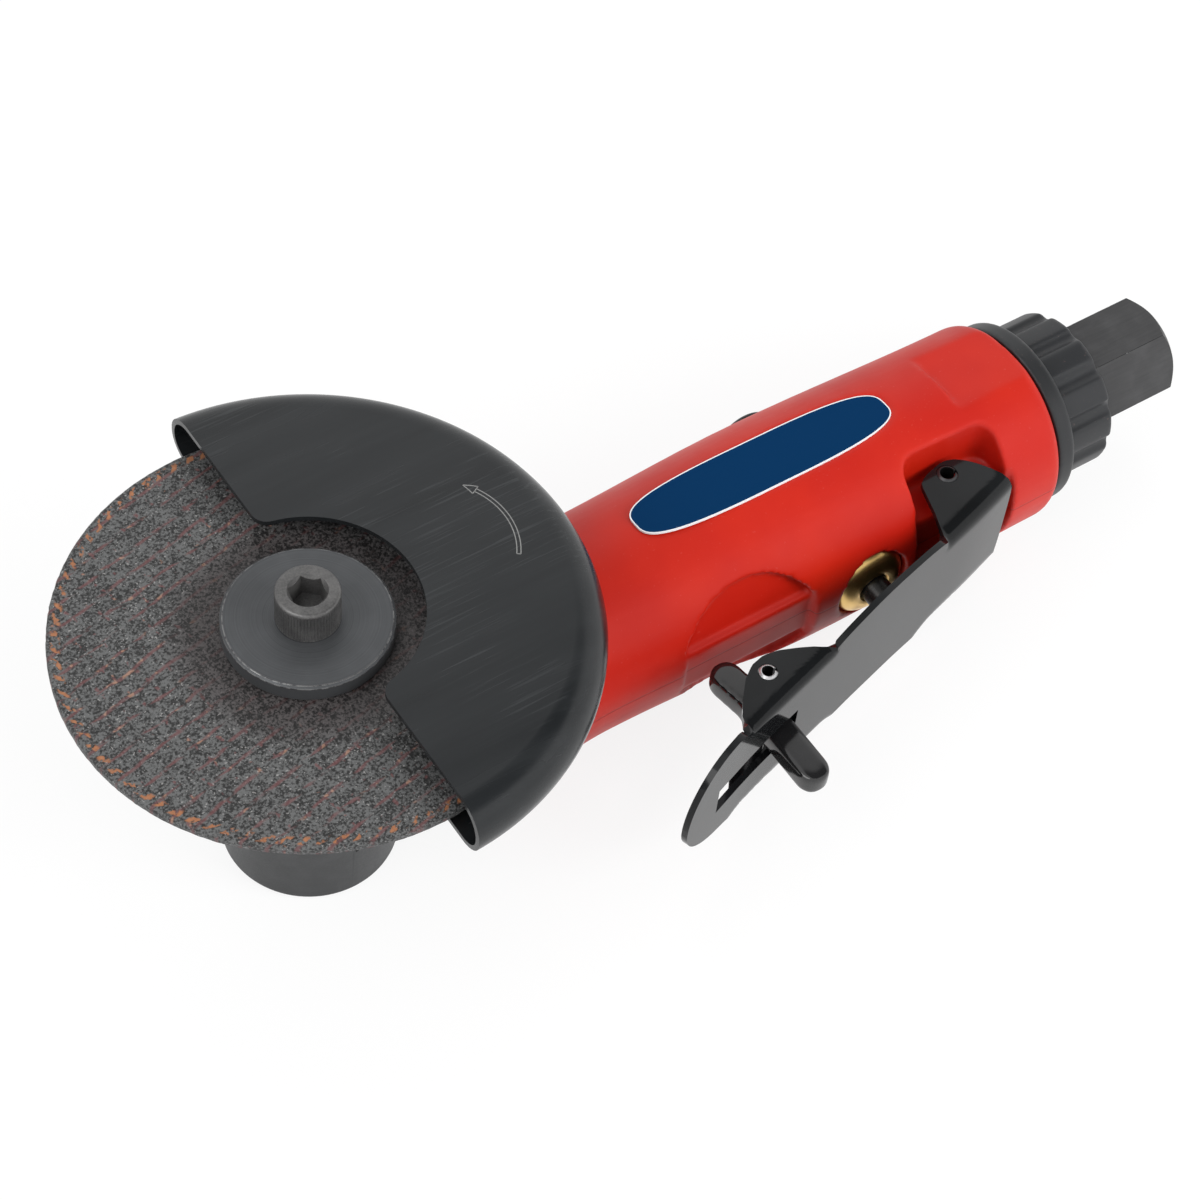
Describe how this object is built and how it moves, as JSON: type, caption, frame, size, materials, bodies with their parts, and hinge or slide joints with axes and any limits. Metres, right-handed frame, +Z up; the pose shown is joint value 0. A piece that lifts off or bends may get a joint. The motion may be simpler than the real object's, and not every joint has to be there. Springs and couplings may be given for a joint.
{
  "type": "pneumatic cut off tool",
  "caption": "Air powered right angle cut off tool: abrasive disc under a half guard, angle head, barrelled grip, side throttle lever with lock off catch, swivel exhaust, threaded inlet.",
  "frame": {"origin": "where the spindle axis meets the flat base of the head, on the plane the tool lies on", "axes": "+X along the grip to the air inlet, +Z up the spindle to the clamp screw, lever on the -Y side"},
  "size_m": [0.2049, 0.0885, 0.0613],
  "materials": {
    "red_grip": "satin moulded red",
    "head_black": "satin black",
    "dark_steel": "blackened steel",
    "guard_black": "semi gloss blackened steel",
    "plate_blue": "printed navy plate, left bare",
    "machined_steel": "machined",
    "bearing_steel": "ground",
    "spring_steel": "drawn wire",
    "gasket_fibre": "pressed fibre",
    "seal_rubber": "matt",
    "valve_brass": "turned",
    "valve_dark": "dark turned steel",
    "plug_black": "matt black",
    "inlet_black": "black phosphate",
    "muffler_felt": "felt",
    "deflector_black": "moulded black",
    "lever_black": "gloss black",
    "catch_black": "gloss black",
    "abrasive": "bonded abrasive with woven fibre"
  },
  "bodies": {
    "housing": {"grip_housing": "red_grip", "angle_head": "head_black", "head_lock_ring": "dark_steel", "bearing_retainer": "dark_steel", "wheel_guard": "guard_black", "guard_screws": "dark_steel", "name_plate": "plate_blue", "motor_cylinder": "machined_steel", "front_end_plate": "machined_steel", "rear_end_plate": "machined_steel", "motor_gasket": "gasket_fibre", "cylinder_dowel": "machined_steel", "valve_bushing": "valve_brass", "valve_seal": "seal_rubber", "valve_spring": "spring_steel", "valve_plug": "plug_black", "inlet_bushing": "inlet_black", "inlet_screen": "machined_steel", "inlet_seal": "seal_rubber", "exhaust_muffler": "muffler_felt", "lever_pin": "dark_steel", "spindle_upper_outer_ring": "bearing_steel", "spindle_lower_outer_ring": "bearing_steel", "pinion_outer_ring": "bearing_steel", "rotor_front_outer_ring": "bearing_steel", "rotor_rear_outer_ring": "bearing_steel"},
    "spindle": {"output_spindle": "machined_steel", "bevel_gear": "machined_steel", "inner_flange": "dark_steel", "cutting_disc": "abrasive", "outer_flange": "dark_steel", "clamp_screw": "dark_steel", "spindle_upper_inner_ring": "bearing_steel", "spindle_lower_inner_ring": "bearing_steel"},
    "spindle_balls": {"spindle_upper_balls": "bearing_steel", "spindle_lower_balls": "bearing_steel"},
    "rotor": {"motor_rotor": "machined_steel", "rotor_vanes": "gasket_fibre", "bevel_pinion": "machined_steel", "pinion_inner_ring": "bearing_steel", "rotor_front_inner_ring": "bearing_steel", "rotor_rear_inner_ring": "bearing_steel"},
    "rotor_balls": {"pinion_balls": "bearing_steel", "rotor_front_balls": "bearing_steel", "rotor_rear_balls": "bearing_steel"},
    "lever": {"throttle_lever": "lever_black", "catch_pin": "dark_steel", "catch_spring": "spring_steel"},
    "catch": {"safety_catch": "catch_black"},
    "stem": {"valve_stem": "valve_dark"},
    "deflector": {"exhaust_deflector": "deflector_black"}
  },
  "joints": [
    {"name": "spindle_spin", "type": "hinge", "parent": "housing", "child": "spindle", "pos_m": [0, 0, 0], "axis": [0, 0, 1], "continuous": true},
    {"name": "spindle_ball_orbit", "type": "hinge", "parent": "housing", "child": "spindle_balls", "pos_m": [0, 0, 0], "axis": [0, 0, 1], "continuous": true},
    {"name": "rotor_spin", "type": "hinge", "parent": "housing", "child": "rotor", "pos_m": [0, 0, 0.0184], "axis": [1, 0, 0], "continuous": true},
    {"name": "rotor_ball_orbit", "type": "hinge", "parent": "housing", "child": "rotor_balls", "pos_m": [0, 0, 0.0184], "axis": [1, 0, 0], "continuous": true},
    {"name": "lever_press", "type": "hinge", "parent": "housing", "child": "lever", "pos_m": [0.1133, -0.0116, 0.0184], "axis": [0, 0, -1], "range_deg": [0, 5], "stiffness_Nm_per_rad": 1.5, "springref_deg": -5.16},
    {"name": "catch_swing", "type": "hinge", "parent": "lever", "child": "catch", "pos_m": [0.06495, -0.02858, 0.0184], "axis": [0, 0, -1], "range_deg": [0, 80], "deforming": ["catch_spring"]},
    {"name": "valve_slide", "type": "slide", "parent": "housing", "child": "stem", "axis": [0, 1, 0], "range_m": [0, 0.002], "deforming": ["valve_spring"]},
    {"name": "deflector_turn", "type": "hinge", "parent": "housing", "child": "deflector", "pos_m": [0.14, 0, 0.0184], "axis": [1, 0, 0], "continuous": true}
  ],
  "couplings": [
    {"joint": "spindle_ball_orbit", "follows": "spindle_spin", "ratio": 0.4},
    {"joint": "rotor_spin", "follows": "spindle_spin", "ratio": 1.3333},
    {"joint": "rotor_ball_orbit", "follows": "spindle_spin", "ratio": 0.53333},
    {"joint": "catch_swing", "follows": "lever_press", "ratio": 16},
    {"joint": "valve_slide", "follows": "lever_press", "m_per_rad": 0.0225}
  ]
}
